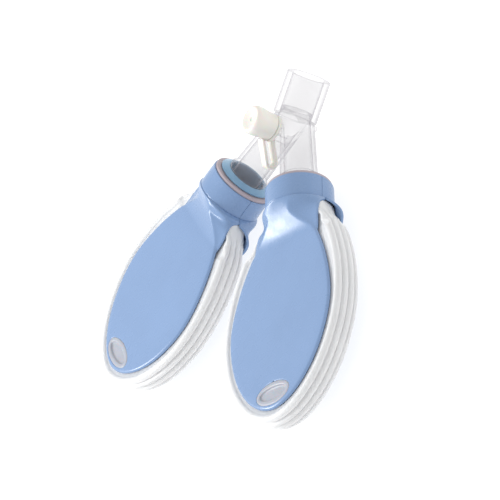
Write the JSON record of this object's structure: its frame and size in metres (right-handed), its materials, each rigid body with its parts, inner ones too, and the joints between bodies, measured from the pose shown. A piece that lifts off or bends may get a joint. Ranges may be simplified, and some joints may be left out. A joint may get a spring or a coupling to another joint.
{
  "type": "nasal aspirator",
  "caption": "Twin paddle-shaped squeeze bellows with hinged blue plates and ribbed white bags on a clear Y connector with a tethered port cap.",
  "frame": {"origin": "middle of the footprint, on the ground that the collars' backs touch", "axes": "+Z is the front face of the plates, the shortest extent; +X is across the two bellows, the longest extent, towards the right one; +Y is along the upright tube towards its mouth"},
  "size_m": [0.1966, 0.1696, 0.0405],
  "materials": {
    "shell": "satin soft blue",
    "bag": "matte white silicone",
    "seal": "matte grey-pink",
    "adapter": "translucent light blue",
    "lug": "matte pale grey",
    "clear": "clear moulded plastic",
    "cap": "satin warm white"
  },
  "bodies": {
    "y_connector": {"y_body": "clear", "nozzle_tube": "clear", "cap_tether": "cap"},
    "port_cap": {"port_cap": "cap"},
    "left_neck": {"left_adapter_ring": "adapter", "left_seal_ring": "seal", "left_bellows": "bag", "left_front_neck_shell": "shell", "left_rear_neck_shell": "shell"},
    "left_front_plate": {"left_front_plate": "shell", "left_front_lug": "lug"},
    "left_rear_plate": {"left_rear_plate": "shell", "left_rear_lug": "lug"},
    "right_neck": {"right_adapter_ring": "adapter", "right_seal_ring": "seal", "right_bellows": "bag", "right_front_neck_shell": "shell", "right_rear_neck_shell": "shell"},
    "right_front_plate": {"right_front_plate": "shell", "right_front_lug": "lug"},
    "right_rear_plate": {"right_rear_plate": "shell", "right_rear_lug": "lug"}
  },
  "joints": [
    {"name": "port_cap_pull", "type": "slide", "parent": "y_connector", "child": "port_cap", "axis": [0, 0, 1], "range_m": [0, 0.012]},
    {"name": "left_neck_swivel", "type": "hinge", "parent": "y_connector", "child": "left_neck", "pos_m": [-0.0255, 0.02779, 0.0165], "axis": [-0.5519, -0.8339, 0], "continuous": true},
    {"name": "left_front_squeeze", "type": "hinge", "parent": "left_neck", "child": "left_front_plate", "pos_m": [-0.03844, 0.00017, 0.02395], "axis": [0.9056, -0.4242, 0], "range_deg": [0, 2.5], "stiffness_Nm_per_rad": 4, "deforming": ["left_bellows"]},
    {"name": "left_rear_squeeze", "type": "hinge", "parent": "left_neck", "child": "left_rear_plate", "pos_m": [-0.03844, 0.00017, 0.00905], "axis": [-0.9056, 0.4242, 0], "range_deg": [0, 2.5], "stiffness_Nm_per_rad": 4},
    {"name": "right_neck_swivel", "type": "hinge", "parent": "y_connector", "child": "right_neck", "pos_m": [0.0255, 0.02779, 0.0165], "axis": [0.5519, -0.8339, 0], "continuous": true},
    {"name": "right_front_squeeze", "type": "hinge", "parent": "right_neck", "child": "right_front_plate", "pos_m": [0.03844, 0.00017, 0.02395], "axis": [0.9056, 0.4242, 0], "range_deg": [0, 2.5], "stiffness_Nm_per_rad": 4, "deforming": ["right_bellows"]},
    {"name": "right_rear_squeeze", "type": "hinge", "parent": "right_neck", "child": "right_rear_plate", "pos_m": [0.03844, 0.00017, 0.00905], "axis": [-0.9056, -0.4242, 0], "range_deg": [0, 2.5], "stiffness_Nm_per_rad": 4}
  ],
  "couplings": [
    {"joint": "left_rear_squeeze", "follows": "left_front_squeeze", "ratio": 1},
    {"joint": "right_rear_squeeze", "follows": "right_front_squeeze", "ratio": 1}
  ]
}
